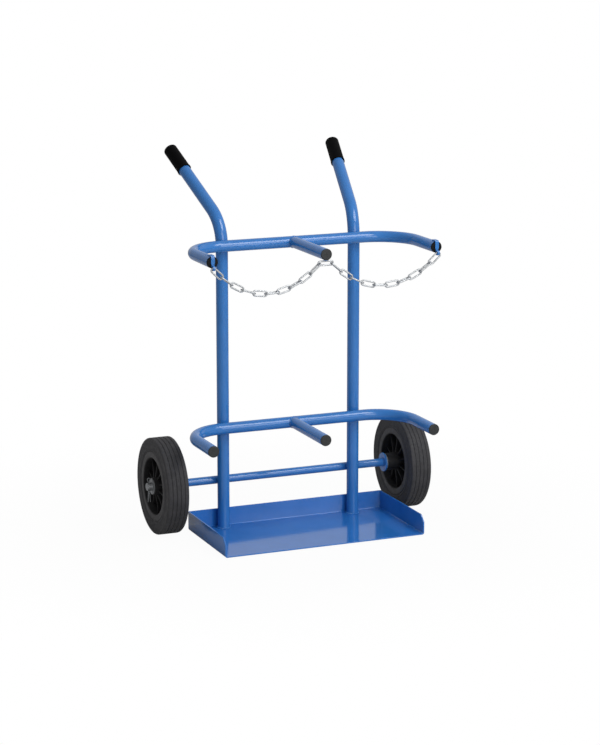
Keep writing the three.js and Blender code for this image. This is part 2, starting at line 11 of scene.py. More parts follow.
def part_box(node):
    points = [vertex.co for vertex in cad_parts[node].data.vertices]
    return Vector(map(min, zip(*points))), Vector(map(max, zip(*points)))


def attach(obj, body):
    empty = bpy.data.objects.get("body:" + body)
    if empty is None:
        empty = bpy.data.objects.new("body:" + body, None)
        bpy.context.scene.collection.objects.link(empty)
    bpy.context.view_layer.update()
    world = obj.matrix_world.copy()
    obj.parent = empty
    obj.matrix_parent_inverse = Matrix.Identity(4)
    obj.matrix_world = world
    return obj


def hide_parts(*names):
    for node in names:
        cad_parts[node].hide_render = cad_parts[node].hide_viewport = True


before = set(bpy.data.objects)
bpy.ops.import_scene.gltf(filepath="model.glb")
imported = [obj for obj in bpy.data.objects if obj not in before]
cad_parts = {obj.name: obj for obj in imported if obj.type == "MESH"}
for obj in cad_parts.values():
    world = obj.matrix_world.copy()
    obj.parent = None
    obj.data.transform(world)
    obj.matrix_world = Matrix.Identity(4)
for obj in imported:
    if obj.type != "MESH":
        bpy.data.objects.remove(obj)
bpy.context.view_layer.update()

MM = 0.001
X, Y, Z = Vector((1, 0, 0)), Vector((0, 1, 0)), Vector((0, 0, 1))
SIDES = {"left": -1, "right": 1}
LEVELS = ("upper", "lower")
LINKS = 10  # in each chain

# Camera: where the photograph was taken from, and its lens
CAMERA_PLACE = Vector((-2.1688, -5.2893, 1.6353))
CAMERA_AZIMUTH = math.radians(22.58)  # to the right of straight ahead
CAMERA_ELEVATION = math.radians(-12.36)
CAMERA_LENS = 113.78
CAMERA_FRAME = 36  # millimetres, as the lens
CAMERA_RANGE = (0.1, 200)

# Clearances and walls that the solids share
FIT_GAP = 0.3 * MM
TUBE_WALL = 2 * MM
HOOP_BEND_RADIUS = 100 * MM
HANDLE_BEND_RADIUS = 100 * MM
HANDLE_BEND_DROP = 4 * MM
HANDLE_LENGTH = 287 * MM
HANDLE_RAKE = math.radians(57.5)
HANDLE_SPLAY = math.radians(8.8)
TRAY_SHEET = 3 * MM

# What a rim and its tyre share
TYRE_HEIGHT = 33 * MM  # from the rim's flange out to the tread
RIM_FLANGE = 16.5 * MM  # from the dish out to the flange's edge
FLANGE_THICKNESS = 4 * MM
FLANGE_RECESS = 0.8 * MM  # from the tyre's side in to the flange's face
BARREL_WALL = 4 * MM

# Facets and edges of the fine surfaces
TUBE_SIDES = 64
WHEEL_SIDES = 160
TURNED_SIDES = 64
WIRE_SIDES = 18
BEND_STEPS = 32
EDGE_BREAK = 0.4 * MM
MERGE_DISTANCE = 0.001 * MM
SHARP_ANGLE = math.radians(32)
BEVEL_ANGLE = math.radians(48)
BEVEL_STEPS = 3


def centre_of(node):
    low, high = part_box(node)
    return (low + high) / 2


def radius_of(node):
    """Half the height of a node that is round about a level axis."""
    low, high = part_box(node)
    return (high.z - low.z) / 2


# Places, worked out from the solids

upright_radius = -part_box("left_upright")[0].y
upright_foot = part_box("left_upright")[0].z
upright_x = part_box("right_upright")[0].x + upright_radius
hoop_low, hoop_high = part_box("upper_hoop")
hoop_radius = radius_of("upper_hoop")
hoop_y = hoop_high.y - hoop_radius
side_arm_x = hoop_high.x - hoop_radius
arm_end_y = hoop_low.y
hoop_height = {level: centre_of(f"{level}_hoop").z for level in LEVELS}
axle_centre = centre_of("axle")
axle_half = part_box("axle")[1].x
axle_radius = radius_of("axle")
tray_low, tray_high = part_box("base_tray")
rim_radius = radius_of("left_rim")


def on_axle(x):
    """The point of the axle's axis at this place across the cart."""
    return Vector((x, axle_centre.y, axle_centre.z))


# Shapes


class Shell:
    """Points and faces of one piece, gathered from closed parts."""

    def __init__(self):
        self.points = []
        self.faces = []

    def loft(self, rings, looped=False):
        """A skin over rings of equally many points; open ends are closed by a face each."""
        start, count = len(self.points), len(rings[0])
        for ring in rings:
            self.points += [tuple(point) for point in ring]
        pairs = len(rings) if looped else len(rings) - 1
        for i in range(pairs):
            here = start + i * count
            there = start + (i + 1) % len(rings) * count
            for k in range(count):
                after = (k + 1) % count
                self.faces.append((here + k, here + after, there + after, there + k))
        if not looped:
            last = start + (len(rings) - 1) * count
            self.faces.append(tuple(range(start + count - 1, start - 1, -1)))
            self.faces.append(tuple(range(last, last + count)))

    def thing(self, name):
        """The points and faces as an object of the scene."""
        mesh = bpy.data.meshes.new(name)
        mesh.from_pydata(self.points, [], self.faces)
        thing = bpy.data.objects.new(name, mesh)
        bpy.context.scene.collection.objects.link(thing)
        return thing

    def piece(self, name, material, body, nodes=(), bevel=0.0):
        """The finished object: merged, facing out, smooth, riding on its body."""
        thing = self.thing(name)
        mesh = thing.data
        work = bmesh.new()
        work.from_mesh(mesh)
        bmesh.ops.remove_doubles(work, verts=work.verts, dist=MERGE_DISTANCE)
        bmesh.ops.recalc_face_normals(work, faces=work.faces)
        work.to_mesh(mesh)
        work.free()
        mesh.shade_smooth()
        mesh.set_sharp_from_angle(angle=SHARP_ANGLE)
        mesh.materials.append(material)
        if bevel:
            edge = thing.modifiers.new("rounded_edges", "BEVEL")
            edge.width = bevel
            edge.segments = BEVEL_STEPS
            edge.limit_method = "ANGLE"
            edge.angle_limit = BEVEL_ANGLE
            edge.harden_normals = True
        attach(thing, body)
        if nodes:
            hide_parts(*nodes)
        return thing


def circle(centre, across, up, radius, sides):
    turns = (2 * math.pi * k / sides for k in range(sides))
    return [centre + radius * (math.cos(a) * across + math.sin(a) * up) for a in turns]


def quarter(steps):
    """The angles of a quarter turn in this many steps."""
    return [0.5 * math.pi * k / steps for k in range(steps + 1)]


def bend(before, corner, after, radius, steps):
    """Places and directions along a round bend at a corner."""
    into, out = (corner - before).normalized(), (after - corner).normalized()
    turn = into.angle(out)
    axis = into.cross(out).normalized()
    start = corner - into * radius * math.tan(turn / 2)
    centre = start + axis.cross(into) * radius
    places = []
    for i in range(steps + 1):
        rotation = Matrix.Rotation(turn * i / steps, 3, axis)
        places.append((centre + rotation @ (start - centre), rotation @ into))
    return places


def bent_path(corners, radius, steps=BEND_STEPS):
    """Places and directions along an open run through corners that are bent round."""
    path = [(corners[0], (corners[1] - corners[0]).normalized())]
    for before, corner, after in zip(corners, corners[1:], corners[2:]):
        path += bend(before, corner, after, radius, steps)
    return path + [(corners[-1], (corners[-1] - corners[-2]).normalized())]


def bent_loop(corners, radius, steps):
    """Places and directions round a closed run whose corners are bent round."""
    count = len(corners)
    path = []
    for i in range(count):
        path += bend(corners[i - 1], corners[i], corners[(i + 1) % count], radius, steps)
    return path


def rings_along(path, normal, radii, sides):
    """Round rings along a flat path; radii holds one radius, or one for each place."""
    if not hasattr(radii, "__len__"):
        radii = [radii] * len(path)
    return [
        circle(place, normal, direction.cross(normal), radius, sides)
        for (place, direction), radius in zip(path, radii)
    ]


def tube(shell, path, normal, radius, bore):
    """A round tube with broken edges at both ends."""
    (first, ahead), (last, back) = path[0], path[-1]
    start = [(first, ahead), (first + ahead * EDGE_BREAK, ahead)]
    end = [(last - back * EDGE_BREAK, back), (last, back)]
    outer = [*start, *path[1:-1], *end]
    radii = [radius] * len(outer)
    radii[0] = radii[-1] = radius - EDGE_BREAK
    rings = rings_along(outer, normal, radii, TUBE_SIDES)
    rings += rings_along(path[::-1], normal, bore, TUBE_SIDES)
    shell.loft(rings, looped=True)


def filleted(corners, steps=5):
    """A closed outline with round corners, each given as across, along and the corner's radius."""
    outline = []
    for i, (across, along, radius) in enumerate(corners):
        here = Vector((across, along))
        if not radius:
            outline.append(here)
            continue
        into = (here - Vector(corners[i - 1][:2])).normalized()
        out = (Vector(corners[(i + 1) % len(corners)][:2]) - here).normalized()
        turn = math.atan2(into.x * out.y - into.y * out.x, into.dot(out))
        start = here - into * radius * math.tan(abs(turn) / 2)
        side = Vector((-into.y, into.x)) * math.copysign(1, turn)
        centre = start + side * radius
        for k in range(steps + 1):
            outline.append(centre + Matrix.Rotation(turn * k / steps, 2) @ (start - centre))
    return outline


def turned(shell, outline, centre, axis, sides):
    """A body turned about a level or leaning axis from an outline of radius and place along it."""
    across = Z.cross(axis).normalized()
    up = axis.cross(across)
    rings = [circle(centre + axis * along, across, up, radius, sides) for radius, along in outline]
    shell.loft(rings, looped=True)


# Materials

NOISE_RANGE = (0.3, 0.7)  # where nearly all of a noise texture's values lie


def spread(tree, value, source, target, smooth=True):
    """A value's range taken to another range."""
    node = tree.nodes.new("ShaderNodeMapRange")
    node.interpolation_type = "SMOOTHSTEP" if smooth else "LINEAR"
    for name, number in zip(("From Min", "From Max", "To Min", "To Max"), (*source, *target)):
        node.inputs[name].default_value = number
    tree.links.new(value, node.inputs["Value"])
    return node.outputs["Result"]


def linear(red, green, blue):
    """A colour written in 0 to 255, as linear light."""
    return tuple(
        (c / 255 / 12.92) if c <= 10 else ((c / 255 + 0.055) / 1.055) ** 2.4
        for c in (red, green, blue)
    )


class Finish:
    """A material with one Principled shader whose colour, roughness and relief vary gently."""

    def __init__(self, name, **values):
        self.material = bpy.data.materials.new(name)
        self.material.use_nodes = True
        self.tree = self.material.node_tree
        self.shader = self.tree.nodes["Principled BSDF"]
        self.place = self.tree.nodes.new("ShaderNodeTexCoord").outputs["Object"]
        for socket, value in values.items():
            self.shader.inputs[socket.replace("_", " ")].default_value = value

    def noise(self, size, detail):
        """Cloudy variation whose patches are about this size."""
        node = self.tree.nodes.new("ShaderNodeTexNoise")
        node.inputs["Scale"].default_value = 1 / size
        node.inputs["Detail"].default_value = detail
        self.tree.links.new(self.place, node.inputs["Vector"])
        return node.outputs["Fac"]

    def clouds(self, low, high, size, detail=2):
        """Cloudy variation from low to high."""
        return spread(self.tree, self.noise(size, detail), NOISE_RANGE, (low, high), smooth=False)

    def tint(self, share, dark, light):
        """Base colour at this share of the way between two linear colours."""
        node = self.tree.nodes.new("ShaderNodeMix")
        node.data_type = "RGBA"
        node.inputs["A"].default_value = (*dark, 1)
        node.inputs["B"].default_value = (*light, 1)
        self.tree.links.new(share, node.inputs["Factor"])
        self.tree.links.new(node.outputs["Result"], self.shader.inputs["Base Color"])

    def colour(self, dark, light, size, detail=2):
        self.tint(self.clouds(0, 1, size, detail), dark, light)

    def roughness(self, low, high, size):
        self.tree.links.new(self.clouds(low, high, size), self.shader.inputs["Roughness"])

    def relief(self, height, size, detail=2):
        node = self.tree.nodes.new("ShaderNodeBump")
        node.inputs["Distance"].default_value = height
        node.inputs["Strength"].default_value = 1.0
        self.tree.links.new(self.noise(size, detail), node.inputs["Height"])
        self.tree.links.new(node.outputs["Normal"], self.shader.inputs["Normal"])


def powder_coat(name, dark, light, smoothest, roughest):
    """Glossy blue powder coat with a faint orange peel."""
    coat = Finish(name, IOR=1.53)
    coat.colour(dark, light, size=60 * MM)
    coat.roughness(smoothest, roughest, size=9 * MM)
    coat.relief(height=0.002 * MM, size=2.2 * MM, detail=1)
    return coat.material


def tyre_rubber():
    """Solid black rubber, finely grained."""
    rubber = Finish("solid_tyre_rubber")
    rubber.colour(linear(41, 41, 44), linear(52, 51, 54), size=22 * MM, detail=4)
    rubber.roughness(0.62, 0.8, size=6 * MM)
    rubber.relief(height=0.05 * MM, size=0.9 * MM, detail=3)
    return rubber.material


def rim_plastic():
    """Black moulded plastic with a fine spark-eroded grain, and painted light that makes the flanges
    paler.
    """
    plastic = Finish("moulded_rim_plastic", Specular_IOR_Level=0.28)
    make, link = plastic.tree.nodes.new, plastic.tree.links.new
    flat, away = make("ShaderNodeVectorMath"), make("ShaderNodeVectorMath")
    total = make("ShaderNodeMath")
    flat.operation, away.operation, total.operation = "MULTIPLY", "DISTANCE", "ADD"
    flat.inputs[1].default_value = Y + Z
    away.inputs[1].default_value = on_axle(0)
    link(plastic.place, flat.inputs[0])
    link(flat.outputs["Vector"], away.inputs[0])
    # The plastic turns paler from the dish outwards: painted light on the flange's lit lip.
    dish, painted_light_depth = rim_radius - RIM_FLANGE, 4 * MM
    cloud_share, painted_light_share = 0.25, 0.75
    painted_lip_light = spread(plastic.tree, away.outputs["Value"], (dish, dish + painted_light_depth), (0, painted_light_share))
    link(plastic.clouds(0, cloud_share, size=30 * MM), total.inputs[0])
    link(painted_lip_light, total.inputs[1])
    plastic.tint(total.outputs[0], linear(19, 19, 21), linear(72, 71, 73))
    plastic.roughness(0.5, 0.62, size=5 * MM)
    plastic.relief(height=0.02 * MM, size=0.7 * MM)
    return plastic.material


def cap_plastic(name, dark, light, sheen):
    """Moulded plastic of this sheen, finely grained."""
    plastic = Finish(name, Specular_IOR_Level=sheen)
    plastic.colour(dark, light, size=8 * MM)
    plastic.roughness(0.45, 0.6, size=3 * MM)
    plastic.relief(height=0.015 * MM, size=0.6 * MM)
    return plastic.material


def grip_rubber():
    """Dull black soft plastic."""
    rubber = Finish("soft_grip_plastic", Specular_IOR_Level=0.06)
    rubber.colour(linear(2, 2, 3), linear(4, 4, 5), size=15 * MM)
    rubber.roughness(0.55, 0.7, size=4 * MM)
    rubber.relief(height=0.02 * MM, size=1.1 * MM)
    return rubber.material


def zinc_plate(name, dark, light):
    """Zinc plate, a little cloudy."""
    zinc = Finish(name, Metallic=1.0)
    zinc.colour(dark, light, size=3 * MM, detail=3)
    zinc.roughness(0.42, 0.56, size=2 * MM)
    zinc.relief(height=0.012 * MM, size=0.8 * MM)
    return zinc.material


def nylon():
    """Natural nylon, slightly waxy."""
    wax = Finish("bush_nylon")
    wax.colour(linear(200, 196, 184), linear(214, 211, 200), size=6 * MM)
    wax.roughness(0.4, 0.52, size=2 * MM)
    wax.relief(height=0.01 * MM, size=0.8 * MM)
    return wax.material


BLUE = powder_coat("blue_powder_coat", linear(46, 113, 184), linear(51, 118, 190), 0.14, 0.18)
SHEET_BLUE = powder_coat(
    "blue_powder_coat_on_sheet", linear(41, 109, 186), linear(46, 114, 192), 0.08, 0.12
)
TYRE = tyre_rubber()
RIM = rim_plastic()
CAP = cap_plastic("moulded_cap_plastic", linear(31, 34, 35), linear(38, 41, 42), sheen=0.45)
# A darker, duller copy of the cap plastic for the caps under the straps: painted shade of the straps.
STRAP_SHADED_CAP = cap_plastic("strap_shaded_cap_plastic", linear(8, 9, 11), linear(13, 14, 16), sheen=0.15)
GRIP = grip_rubber()
ZINC = zinc_plate("bright_zinc_plate", linear(176, 179, 182), linear(202, 204, 206))
# A darker copy of the zinc for the washers, split pins and axle ends at the hubs: painted shade and
# painted dark reflection.
HUB_SHADED_ZINC = zinc_plate("hub_shaded_zinc_plate", linear(136, 139, 142), linear(160, 162, 164))
NYLON = nylon()


# Frame tubes


def handle_direction(out):
    return Vector((
        out * math.sin(HANDLE_SPLAY),
        math.cos(HANDLE_SPLAY) * math.sin(HANDLE_RAKE),
        math.cos(HANDLE_SPLAY) * math.cos(HANDLE_RAKE),
    ))


def handle_corner(out):
    turn = handle_direction(out).angle(Z)
    rise = HANDLE_BEND_RADIUS * math.tan(turn / 2) - HANDLE_BEND_DROP
    return Vector((out * upright_x, 0, hoop_height["upper"] + rise))


def handle_end(out):
    return handle_corner(out) + handle_direction(out) * HANDLE_LENGTH


def make_upright(side, out):
    shell = Shell()
    foot = Vector((out * upright_x, 0, upright_foot))
    path = bent_path([foot, handle_corner(out), handle_end(out)], HANDLE_BEND_RADIUS)
    normal = Z.cross(handle_direction(out)).normalized()
    tube(shell, path, normal, upright_radius, upright_radius - TUBE_WALL)
    shell.piece(f"{side}_upright_tube", BLUE, "frame", [f"{side}_upright"])


def make_hoop(level):
    height = hoop_height[level]
    corners = [
        Vector((-side_arm_x, arm_end_y, height)),
        Vector((-side_arm_x, hoop_y, height)),
        Vector((side_arm_x, hoop_y, height)),
        Vector((side_arm_x, arm_end_y, height)),
    ]
    shell = Shell()
    tube(shell, bent_path(corners, HOOP_BEND_RADIUS), Z, hoop_radius, hoop_radius - TUBE_WALL)
    shell.piece(f"{level}_hoop_tube", BLUE, "frame", [f"{level}_hoop"])


def make_middle_arm(level):
    """A straight tube whose back end saddles the hoop."""
    height = hoop_height[level]
    saddle = hoop_radius + FIT_GAP
    bore = hoop_radius - TUBE_WALL

    def ring_at(y, radius):
        return circle(Vector((0, y, height)), X, Z, radius, TUBE_SIDES)

    def saddle_ring(radius):
        ring = ring_at(hoop_y, radius)
        for point in ring:
            point.y -= math.sqrt(max(saddle**2 - (point.z - height) ** 2, 0))
        return ring

    rings = [
        saddle_ring(hoop_radius),
        ring_at(arm_end_y + EDGE_BREAK, hoop_radius),
        ring_at(arm_end_y, hoop_radius - EDGE_BREAK),
        ring_at(arm_end_y, bore),
        saddle_ring(bore),
    ]
    shell = Shell()
    shell.loft(rings, looped=True)
    shell.piece(f"{level}_middle_arm_tube", BLUE, "frame", [f"{level}_middle_arm"])


def make_cap(node):
    """A round plug: a slightly domed head with a sunk gate mark, on a stem inside the tube."""
    low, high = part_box(node)
    centre = centre_of(node)
    centre.y = 0
    face, stem_end = low.y, high.y
    radius = radius_of(node)
    head, head_edge = 3.5 * MM, 0.25 * MM
    dome, dome_round = 0.5 * MM, 4 * MM
    brim, brim_round = 2.5 * MM, 1.9 * MM
    gate, gate_mouth, gate_edge = 1.6 * MM, 1.92 * MM, 0.1 * MM
    gate_depth, gate_wall = 0.35 * MM, 0.3 * MM
    stem = radius - TUBE_WALL - FIT_GAP
    stem_chamfer, stem_edge = 1.2 * MM, 0.2 * MM
    outline = filleted(
        [
            (0, face + gate_depth, 0),
            (gate, face + gate_wall, gate_edge),
            (gate_mouth, face, gate_edge),
            (radius - brim, face + dome / 3, dome_round),
            (radius, face + dome, brim_round),
            (radius, face + head, head_edge),
            (stem, face + head + FIT_GAP / 2, 0),
            (stem, stem_end - stem_chamfer, stem_edge),
            (stem - stem_chamfer, stem_end, stem_edge),
            (0, stem_end, 0),
        ]
    )
    shell = Shell()
    turned(shell, outline, centre, Y, TURNED_SIDES)
    strapped = node in ("upper_left_cap", "upper_right_cap")
    # The caps under the straps take the darker copy: painted shade cast by the straps.
    shell.piece(f"{node}_plug", STRAP_SHADED_CAP if strapped else CAP, "frame", [node])


def make_grip(side, out):
    """A dipped sleeve with a rolled lip at its mouth and a round end."""
    wall, end_wall, length = 1.9 * MM, 3.5 * MM, 84 * MM
    end_round, end_taper = 3.4 * MM, 0.2 * MM
    lip_rise, lip_length, lip_slope = 0.7 * MM, 4 * MM, 0.9 * MM
    mouth_edge, lip_round, lip_back_round, lip_foot_round = 0.3 * MM, 1.2 * MM, 0.9 * MM, 0.8 * MM
    bore = upright_radius + FIT_GAP
    radius = bore + wall
    lip = radius + lip_rise
    end = end_wall + FIT_GAP
    mouth = end - length
    lip_end = mouth + lip_length
    outline = filleted(
        [
            (0, FIT_GAP, 0),
            (bore, FIT_GAP, 0),
            (bore, mouth, mouth_edge),
            (lip, mouth, lip_round),
            (lip, lip_end, lip_back_round),
            (radius, lip_end + lip_slope, lip_foot_round),
            (radius - end_taper, end, end_round),
            (0, end, 0),
        ],
        steps=7,
    )
    shell = Shell()
    turned(shell, outline, handle_end(out), handle_direction(out), TURNED_SIDES)
    shell.piece(f"{side}_grip_sleeve", GRIP, "frame", [f"{side}_grip"])


# Foot tray


def make_tray():
    """Sheet folded up on three sides: its outer and inner skins, joined along every edge."""
    inner_fold, outer_corner, inner_corner = 2.5 * MM, 3.4 * MM, 1 * MM
    corner_cut, edge_round = 16 * MM, 0.45 * MM
    fold = inner_fold + TRAY_SHEET
    half, front, back, top = tray_high.x, tray_low.y, tray_high.y, tray_high.z
    fold_steps, corner_steps = 8, 5

    def level(x, y, z, rounding):
        """The points of one level, from the left front round the back to the right front."""
        ahead = front + max(z - (top - corner_cut), 0)
        points = [Vector((-x, ahead, z))]
        for out in (-1, 1):
            middle = Vector((out * (x - rounding), y - rounding, z))
            for a in quarter(corner_steps)[::-out]:
                points.append(middle + rounding * Vector((out * math.cos(a), math.sin(a), 0)))
        return [*points, Vector((x, ahead, z))]

    def skin(inset, radius, rounding):
        """The levels of one skin, from the floor up."""
        heights = [(radius * math.sin(a), fold - radius * math.cos(a)) for a in quarter(fold_steps)]
        heights += [(radius, top - corner_cut), (radius, top)]
        start = inset + radius
        return [level(half - start + reach, back - start + reach, z, rounding) for reach, z in heights]

    outer = skin(0, fold, outer_corner)
    inner = skin(TRAY_SHEET, inner_fold, inner_corner)
    rings = outer + inner[::-1]
    count, last = len(outer[0]), len(rings) - 1
    shell = Shell()
    for ring in rings:
        shell.points += [tuple(point) for point in ring]
    for i in range(last):
        here, there = i * count, (i + 1) * count
        for k in range(count - 1):
            shell.faces.append((here + k, here + k + 1, there + k + 1, there + k))
    # Underside and floor
    floor = last * count
    shell.faces.append(tuple(range(count)))
    shell.faces.append(tuple(range(floor, floor + count)))
    # Front edges of the sheet, up each side wall and along the floor
    for end in (0, count - 1):
        for i in range(len(outer) - 1):
            outside = (i * count + end, (i + 1) * count + end)
            inside = ((last - 1 - i) * count + end, (last - i) * count + end)
            shell.faces.append((*outside, *inside))
    shell.faces.append((0, count - 1, floor + count - 1, floor))
    shell.piece("base_tray_sheet", SHEET_BLUE, "frame", ["base_tray"], bevel=edge_round)


# Axle and what is on it


def drill(rod, holes):
    """Cut a shell's closed parts out of a rod."""
    cutter = holes.thing("drill")
    cut = rod.modifiers.new("pin_holes", "BOOLEAN")
    cut.operation = "DIFFERENCE"
    cut.solver = "EXACT"
    cut.object = cutter
    bpy.context.view_layer.update()
    evaluated = rod.evaluated_get(bpy.context.evaluated_depsgraph_get())
    drilled = bpy.data.meshes.new_from_object(evaluated)
    rod.modifiers.remove(cut)
    rod.data = drilled
    drilled.set_sharp_from_angle(angle=SHARP_ANGLE)
    bpy.data.objects.remove(cutter)


def make_axle():
    """A chamfered rod, painted between its collars and drilled across for a split pin near each end."""
    chamfer, end_round, side_round = 1.5 * MM, 0.3 * MM, 0.5 * MM
    hole_radius, hole_sides, drill_reach = 3 * MM, 32, 20 * MM
    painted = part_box("right_axle_collar")[1].x
    outline = filleted(
        [
            (0, -axle_half, 0),
            (axle_radius - chamfer, -axle_half, end_round),
            (axle_radius, -axle_half + chamfer, side_round),
            (axle_radius, -painted, 0),
            (axle_radius, painted, 0),
            (axle_radius, axle_half - chamfer, side_round),
            (axle_radius - chamfer, axle_half, end_round),
            (0, axle_half, 0),
        ],
        steps=3,
    )
    shell = Shell()
    turned(shell, outline, axle_centre, X, TURNED_SIDES)
    rod = shell.piece("axle_rod", BLUE, "frame", ["axle"])
    holes = Shell()
    for side in SIDES:
        middle = on_axle(centre_of(f"{side}_split_pin").x)
        ends = [middle + Z * reach for reach in (-drill_reach, drill_reach)]
        holes.loft([circle(end, X, Y, hole_radius, hole_sides) for end in ends])
    drill(rod, holes)
    # The bare ends beyond the collars take the darker zinc, whose darkness is painted shade at the hubs.
    rod.data.materials.append(HUB_SHADED_ZINC)
    for face in rod.data.polygons:
        face.material_index = int(abs(face.center.x) > painted)


def make_ring(node, bore, edge, material, suffix, body="frame"):
    """A washer, collar or bush in its node's place, with broken edges."""
    low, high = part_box(node)
    radius = radius_of(node)
    corners = [(bore, low.x), (radius, low.x), (radius, high.x), (bore, high.x)]
    shell = Shell()
    turned(shell, filleted([(*corner, edge) for corner in corners]), on_axle(0), X, TURNED_SIDES)
    shell.piece(f"{node}_{suffix}", material, body, [node])


def make_split_pin(side):
    """A wire folded to an eye, its legs side by side through the axle and spread below it."""
    wire, gap, wire_end_round = 2.4 * MM, 0.3 * MM, 0.2 * MM
    eye_radius, eye_height, leg_length, splay = 4 * MM, 17.8 * MM, 39 * MM, 1.6 * MM
    eye_start, eye_end, eye_steps = math.radians(222), math.radians(-42), 26
    tip_share, knee_splay_share, knee_length_share, neck_splay_share = 0.72, 0.75, 0.8, 0.25
    centre = on_axle(centre_of(f"{side}_split_pin").x)
    leg = (wire + gap) / 2

    def at(across, up):
        return centre + X * across + Z * up

    def leg_points(out):
        return [
            at(out * (leg + splay), -leg_length),
            at(out * (leg + splay * knee_splay_share), -leg_length * knee_length_share),
            at(out * (leg + splay * neck_splay_share), -axle_radius - 3 * wire),
            at(out * leg, -axle_radius - wire / 2),
            at(out * leg, 0),
            at(out * leg, eye_height - eye_radius - 1.5 * wire),
        ]

    turns = [eye_start + (eye_end - eye_start) * i / eye_steps for i in range(eye_steps + 1)]
    eye = [at(eye_radius * math.cos(a), eye_height + eye_radius * math.sin(a)) for a in turns]
    points = leg_points(-1) + eye + leg_points(1)[::-1]
    path = []
    for i, point in enumerate(points):
        ahead = points[min(i + 1, len(points) - 1)] - points[max(i - 1, 0)]
        path.append((point, ahead.normalized()))
    radii = [wire / 2] * len(path)
    radii[0] = radii[-1] = wire / 2 * tip_share
    shell = Shell()
    shell.loft(rings_along(path, Y, radii, WIRE_SIDES))
    name = f"{side}_split_pin"
    shell.piece(f"{name}_wire", HUB_SHADED_ZINC, "frame", [name], bevel=wire_end_round)


# Wheels


def make_tyre(side):
    """Solid rubber with crowned tread, round grooves, round shoulders and a raised ring on each side."""
    node = f"{side}_tyre"
    low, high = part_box(node)
    half, radius = (high.x - low.x) / 2, radius_of(node)
    flange = radius - TYRE_HEIGHT + FIT_GAP
    seat = radius - TYRE_HEIGHT - RIM_FLANGE + BARREL_WALL + FIT_GAP
    bead = half - FLANGE_RECESS - FLANGE_THICKNESS - FIT_GAP
    bead_round, lip_round = 0.3 * MM, 0.8 * MM
    bulge = 1.2 * MM
    side_face = half - bulge
    ring_inset, ring_slope, ring_width = 4.5 * MM, 0.6 * MM, 1.2 * MM
    ring_foot, ring_crest, ring_back, ring_round = 0.2 * MM, 0.9 * MM, 0.3 * MM, 0.4 * MM
    ring_foot_round = 2 * MM
    ring = flange + ring_inset
    wall_reach, wall_drop, wall_round = 3 * MM, 0.4 * MM, 10 * MM
    shoulder, shoulder_round = 5.5 * MM, 2 * MM
    crown, crown_round = 0.2 * MM, 4.2 * MM
    tread_inset, tread_round = 8 * MM, 3 * MM
    grooves, band, groove_width, groove_depth = 4, 10.5 * MM, 2.4 * MM, 1.5 * MM
    groove_edge, groove_round = 0.35 * MM, 0.5 * MM

    def outward(end):
        """One side's outline, from the rim's seat out to the tread."""
        corners = [
            (seat, bead, 0),
            (flange, bead, bead_round),
            (flange, side_face, lip_round),
            (ring, side_face + ring_foot, ring_foot_round),
            (ring + ring_slope, side_face + ring_crest, ring_round),
            (ring + ring_slope + ring_width, side_face + ring_crest, ring_round),
            (ring + 2 * ring_slope + ring_width, side_face + ring_back, ring_round),
            (radius - shoulder - wall_reach, half - wall_drop, wall_round),
            (radius - shoulder, half, shoulder_round),
            (radius - crown, half, crown_round),
            (radius, half - tread_inset, tread_round),
        ]
        return [(across, end * along, fillet) for across, along, fillet in corners]

    tread = []
    for i in range(grooves):
        middle = (i - (grooves - 1) / 2) * band
        wide, narrow = groove_width / 2, groove_width / 3
        tread += [
            (radius, middle - wide, groove_edge),
            (radius - groove_depth, middle - narrow, groove_round),
            (radius - groove_depth, middle + narrow, groove_round),
            (radius, middle + wide, groove_edge),
        ]
    outline = filleted([*outward(-1), *tread, *outward(1)[::-1]], steps=4)
    shell = Shell()
    turned(shell, outline, on_axle((low.x + high.x) / 2), X, WHEEL_SIDES)
    shell.piece(f"{node}_rubber", TYRE, f"{side}_wheel", [node])


